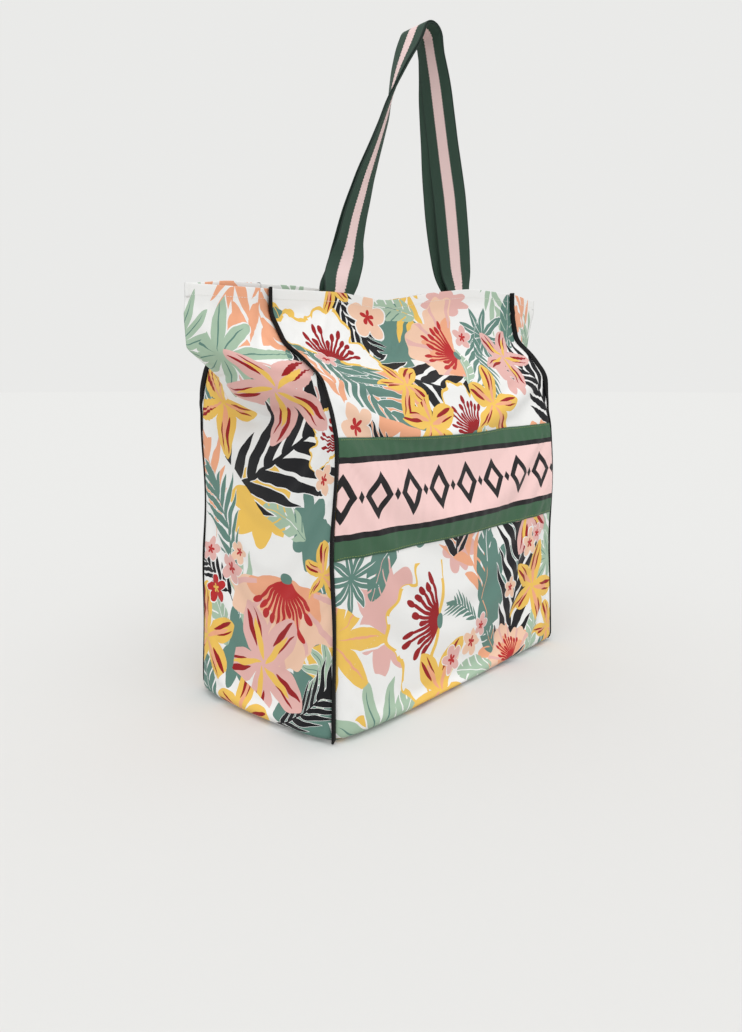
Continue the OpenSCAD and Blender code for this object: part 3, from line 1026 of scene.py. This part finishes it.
def band_surface(x, z):
    """Points on the band's face, puckered between its two rows of stitches."""
    points, normals = on_grid(front_grid, FRONT_HEIGHTS, x, z)
    up = (z - BAND_Z) / BAND_H
    free = np.clip(np.minimum(z - BAND_Z, BAND_Z + BAND_H - z) / 0.012, 0, 1)
    pucker = np.zeros(np.broadcast(x, z).shape)
    for pitch, phase, strength in [(0.031, 0.3, 0.5), (0.019, 2.1, 0.45), (0.013, 4.0, 0.3)]:
        lean = 0.006 * np.sin(up * 3 + phase)
        uneven = 0.6 + 0.4 * np.sin(x * 17 + phase)
        pucker = pucker + strength * np.sin((x + lean) * math.tau / pitch + phase) * uneven
    edge = np.exp(-np.minimum(up, 1 - up) / 0.22)
    lift = 0.0009 + free * (0.0007 + 0.0009 * edge * pucker + 0.0003 * pucker)
    return points + normals * lift[..., None], normals


def make_band():
    half = HALF_W - 0.0012
    x = np.linspace(-half, half, 261)[None, :]
    z = np.linspace(BAND_Z, BAND_Z + BAND_H, 61)[:, None]
    grid, _ = band_surface(x, z)
    piece = cloth_from_grid("band_cloth", grid, stacked(x, z - BAND_Z))
    return dress(piece, BAND_CLOTH, "front_side", "front_band")


band = make_band()


# ---------- Threads ----------

HEM_STITCH = 0.010
STITCH_PITCH = 0.0033
STITCH_LEN = 0.0026
THREAD_R = 0.00024
THREAD_SIDES = 5
# The rings of one stitch, as (share of its length, height and width in thread radii)
STITCH_RINGS = np.array([(0, -0.8, 0.5), (0.25, 0.25, 1), (0.75, 0.25, 1), (1, -0.8, 0.5)])


def stitch_rings(path, normals):
    """Points round every stitch along a path. A stitch dips into the cloth at both ends."""
    lengths = np.concatenate([[0], np.cumsum(np.linalg.norm(np.diff(path, axis=0), axis=1))])

    def at(values, place):
        return stacked(*(np.interp(place, lengths, column) for column in values.T))

    starts = np.arange(STITCH_PITCH / 2, lengths[-1] - STITCH_LEN, STITCH_PITCH)
    share, lift, width = STITCH_RINGS.T
    place = starts[:, None] + share * STITCH_LEN
    middle, out = at(path, place), at(normals, place)
    along = at(path, place + 0.0005) - at(path, place - 0.0005)
    along /= np.linalg.norm(along, axis=-1, keepdims=True)
    across = np.cross(along, out)
    angles = math.tau * np.arange(THREAD_SIDES) / THREAD_SIDES
    high = (lift[:, None] + width[:, None] * np.sin(angles))[..., None]
    wide = (width[:, None] * np.cos(angles))[..., None]
    return middle[..., None, :] + THREAD_R * (out[..., None, :] * high + across[..., None, :] * wide)


def make_stitches(name, rows, material, body):
    vertices = np.concatenate([stitch_rings(*row).reshape(-1, 3) for row in rows])
    one_stitch = tube_faces(len(STITCH_RINGS), THREAD_SIDES)
    firsts = range(0, len(vertices), len(STITCH_RINGS) * THREAD_SIDES)
    faces = [tuple(first + i for i in face) for first in firsts for face in one_stitch]
    piece = new_object(name, vertices, faces)
    print_map(piece, vertices[:, [0, 2]])
    fix_normals(piece)
    return dress(piece, material, body)


def band_rows():
    """Lines of points just inside the band's lower and upper edges."""
    x = np.linspace(-0.197, 0.197, 400)
    rows = []
    for z in (BAND_Z + BAND_STITCH, BAND_Z + BAND_H - BAND_STITCH):
        points, normals = band_surface(x[None, :], np.array([[z]]))
        rows.append((points[0], normals[0]))
    return rows


def hem_row(grid):
    """A line of points along a panel's outer face, a little below its top edge."""
    row = np.interp(-HEM_STITCH, np.linspace(HEM_FOOT - MOUTH_Z, 0, HEM_ROWS),
                    np.arange(len(grid) - HEM_ROWS, len(grid)))
    low = int(row)
    normals = grid_normals(grid)[low, 1:-1]
    points = grid[low, 1:-1] * (low + 1 - row) + grid[low + 1, 1:-1] * (row - low)
    return points, normals


front_hem, back_hem, left_hem, right_hem = map(hem_row, (front_grid, back_grid, left_grid, right_grid))
band_stitches, front_stitches, back_stitches, ear_stitches = (
    make_stitches(name, rows, material, body) for name, rows, material, body, slot in [
        ("band_stitches", band_rows(), GREEN_THREAD, "front_side", "band"),
        ("front_hem_stitches", [front_hem], WHITE_THREAD, "front_side", "printed_fabric"),
        ("back_hem_stitches", [back_hem], WHITE_THREAD, "back_side", "printed_fabric"),
        ("gusset_hem_stitches", [left_hem, right_hem], WHITE_THREAD, "bag", "printed_fabric")])


# ---------- Handles ----------

LEG_START = HINGE_Z + 0.0005
LEG_H = MOUTH_Z + HANDLE_RISE - FOLD_R - NEST_GAP - LEG_START
LEG_SLANT = math.atan((HANDLE_SPACING / 2 - FOLD_R) / LEG_H)
END_Z = MOUTH_Z - 0.028
# Places up a leg, as shares of its height above the hem
LEG_PLACES = np.linspace(-0.1, 1, 221)


def unit(v):
    return v / np.linalg.norm(v)


def leg_line(points):
    """Values at each of LEG_PLACES, on a smooth line near the points."""
    return smoothed(np.interp(LEG_PLACES, *zip(*points)), 11)


# The webbing faces forward in the hem, and both legs turn the same way before they meet edge on, in degrees
LEFT_TURN = leg_line([(-0.05, 0), (0, -34), (0.05, -30), (0.14, 4), (0.30, 15), (0.51, 33), (0.68, 43),
                      (0.95, 90), (1, 90)])
RIGHT_TURN = leg_line([(0.01, 0), (0.08, 25), (0.2, 38), (0.4, 51), (0.6, 71), (0.8, 74), (0.95, 90),
                       (1, 90)])
# Each leg bends inwards above the hem and outwards again higher up
LEFT_BEND = leg_line([(-0.07, 0), (0, 0.005), (0.05, 0.0085), (0.1, 0.010), (0.25, 0.0025), (0.4, -0.002),
                      (0.85, -0.003), (1, 0)])
RIGHT_BEND = leg_line([(-0.04, 0), (0.1, 0.0045), (0.25, 0.001), (0.4, -0.0026), (0.85, -0.0028), (1, 0)])
# The back webbing is slid sideways in its own plane, most of all half way up
LEFT_SLIDE = 0.0035
RIGHT_SLIDE = 0.0125


def leg_point(t, bend):
    """The middle of the left leg, a share of the way up it."""
    share = max(t, 0)
    bow = share * (1 - (1 - share) ** 6)
    top_x = FOLD_R * math.cos(LEG_SLANT)
    x = HANDLE_SPACING / 2 * (1 - bow) + top_x * bow - np.interp(t, LEG_PLACES, bend)
    return np.array([-x, -HANDLE_Y - HANDLE_LEAN * bow, LEG_START + LEG_H * t])


def leg_stations(turns, bend, root_offset, top_offset, slide):
    """The webbing's middle, the direction across it and the one out of its back, from the hem to the top."""
    stations = []
    root_t = (END_Z - LEG_START) / LEG_H
    for t in np.concatenate([np.linspace(root_t, 0, 12)[:-1], np.linspace(0, 1, 60)]):
        along = unit(leg_point(min(t + 0.01, 1), bend) - leg_point(t - 0.01, bend))
        turn = math.radians(np.interp(t, LEG_PLACES, turns))
        flat = np.array([math.cos(turn), math.sin(turn), 0])
        across = unit(flat - along * (flat @ along))
        out = np.cross(along, across)
        share = max(t, 0)
        offset = root_offset + (top_offset - root_offset) * min(share / 0.6, 1)
        aside = slide * math.sin(math.pi * share ** 0.7)
        stations.append((leg_point(t, bend) + out * offset + across * aside, across, out))
    return stations


def handle_stations(root_offset, top_offset, sliding):
    """Every station of one handle, from the foot of its left leg to the foot of its right leg."""
    stations = leg_stations(LEFT_TURN, LEFT_BEND, root_offset, top_offset, LEFT_SLIDE * sliding)
    right = leg_stations(RIGHT_TURN, RIGHT_BEND, root_offset, top_offset, RIGHT_SLIDE * sliding)
    fold_centre = np.array([0, stations[-1][0][1], LEG_START + LEG_H - FOLD_R * math.sin(LEG_SLANT)])
    for angle in np.linspace(math.pi - LEG_SLANT, LEG_SLANT, 15)[1:-1]:
        out = np.array([math.cos(angle), 0, math.sin(angle)])
        stations.append((fold_centre + out * (FOLD_R + top_offset), np.array([0, 1.0, 0]), out))
    stations += [tuple(v * [-1, 1, 1] for v in station) for station in reversed(right)]
    return stations


def turned(vectors):
    """The same vectors turned forward with the mouth."""
    angle = math.atan(TURN_SLOPE)
    x, y, z = np.asarray(vectors, float).T
    return stacked(x * math.cos(angle) + y * math.sin(angle), y * math.cos(angle) - x * math.sin(angle), z)


def make_handle(name, root_offset, top_offset, sliding, body):
    centres, across, out = zip(*handle_stations(root_offset, top_offset, sliding))
    pivot = [TURN_X, 0, 0]
    centres = turned(np.array(centres) - pivot) + pivot
    piece = swept(name, centres, turned(across), turned(out), rounded_strip(WEBBING_W, WEBBING_T))
    piece.data.materials.append(WEBBING)
    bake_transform(piece)
    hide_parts(body, f"{body}_ends")


make_handle("front_webbing", 0, 0, 0, "front_handle")
make_handle("back_webbing", 2 * HANDLE_Y, WEBBING_T + 0.0003, 1, "back_handle")


# ---------- Inner pocket and zip ----------

POCKET_X = 0.085
POCKET_LOW = 0.118
POCKET_HIGH = 0.264
POCKET_FACE = 0.0914
ZIP_Z = 0.247
SLOT_X = 0.082
SLOT_HALF = 0.0108
TAPE_W = 0.011
TAPE_Y = 0.0928


def rectangle_ring(half_x, low, high, y, radius):
    """Points round an upright rectangle with round corners, seen from the front."""
    arcs = rounded_corners(half_x, (high - low) / 2, radius, 6)
    points = []
    for arc, next_arc in zip(arcs, arcs[1:] + arcs[:1]):
        points += [arc, np.linspace(arc[-1], next_arc[0], 25)[1:-1]]
    x, z = np.concatenate(points).T
    return stacked(x, y, z + (low + high) / 2)


def make_pocket():
    """A flat pouch whose face has a slot for the zip, with its edges turned in at the back."""
    slot_low, slot_high = ZIP_Z - SLOT_HALF, ZIP_Z + SLOT_HALF
    rings = [rectangle_ring(SLOT_X, slot_low, slot_high, POCKET_FACE + 0.0006, 0.0006),
             rectangle_ring(SLOT_X + 0.0004, slot_low - 0.0004, slot_high + 0.0004, POCKET_FACE, 0.0008)]
    for t in np.linspace(0.1, 1, 14):
        half_x = SLOT_X + 0.0004 + (POCKET_X - SLOT_X - 0.0014) * t
        low = slot_low - 0.0004 + (POCKET_LOW + 0.001 - slot_low) * t
        high = slot_high + 0.0004 + (POCKET_HIGH - 0.0014 - slot_high) * t
        rings.append(rectangle_ring(half_x, low, high, POCKET_FACE, 0.001 + 0.003 * t))
    sides = [(0.0004, 0.0007), (0.0012, 0.001), (0.004, 0.001), (0.0072, 0.001), (0.0076, 0.0035)]
    for depth, spread in sides:
        rings.append(rectangle_ring(POCKET_X - 0.001 + spread, POCKET_LOW + 0.001 - spread,
                                    POCKET_HIGH - 0.001 + spread, POCKET_FACE + depth, 0.004 + spread))
    rings = np.array(rings)
    # The face hangs a little slack
    x, z = rings[2:16, :, 0], rings[2:16, :, 2]
    slack = np.cos(x / POCKET_X * math.pi / 2) * np.sin(np.clip((z - POCKET_LOW) / 0.118, 0, 1) * math.pi)
    rings[2:16, :, 1] -= 0.0004 * np.maximum(slack, 0) * (1 + np.sin(x * 130 + z * 60))
    faces = [face[::-1] for face in tube_faces(*rings.shape[:2])[:-2]]
    piece = new_object("pocket_cloth", rings.reshape(-1, 3), faces)
    fix_normals(piece)
    print_map(piece, rings.reshape(-1, 3)[:, [0, 2]])
    solid = piece.modifiers.new("thickness", "SOLIDIFY")
    solid.thickness = CLOTH_T
    solid.offset = 0
    shaped = bpy.data.meshes.new_from_object(piece.evaluated_get(bpy.context.evaluated_depsgraph_get()))
    piece.modifiers.clear()
    piece.data = shaped
    return dress(piece, LINING, "back_side", "stow_pocket")


def make_tape(name, side, node):
    """One side of the zip's tape, with a slight wave along it."""
    half_length = POCKET_X - 0.0011
    edge = ZIP_Z + side * 0.0028
    x = np.linspace(-half_length, half_length, 120)[None, :]
    z = np.linspace(*sorted((edge, edge + side * TAPE_W)), 12)[:, None]
    wave = 0.00008 * np.sin(x * 400 + z * 300)
    piece = cloth_from_grid(name, stacked(x, TAPE_Y + wave, z), stacked(x, z))
    return dress(piece, ZIP_TAPE, "back_side", node)


pocket = make_pocket()
upper_tape = make_tape("upper_tape", 1, "upper_zip_tape")
lower_tape = make_tape("lower_tape", -1, "lower_zip_tape")
for node, material in [("upper_zip_teeth", PLASTIC), ("lower_zip_teeth", PLASTIC), ("zip_stops", NICKEL),
                       ("zip_slider", NICKEL), ("zip_puller", NICKEL)]:
    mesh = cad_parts[node].data
    mesh.materials.clear()
    mesh.materials.append(material)


# ---------- Own meshes ------------

for piece in (front_cloth, bindings[0], bindings[1], band_stitches, front_stitches):
    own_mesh(piece)
for piece in (back_cloth, bindings[2], bindings[3], back_stitches):
    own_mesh(piece)
for piece in (left_cloth, right_cloth, bottom_cloth, ear_stitches):
    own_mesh(piece)
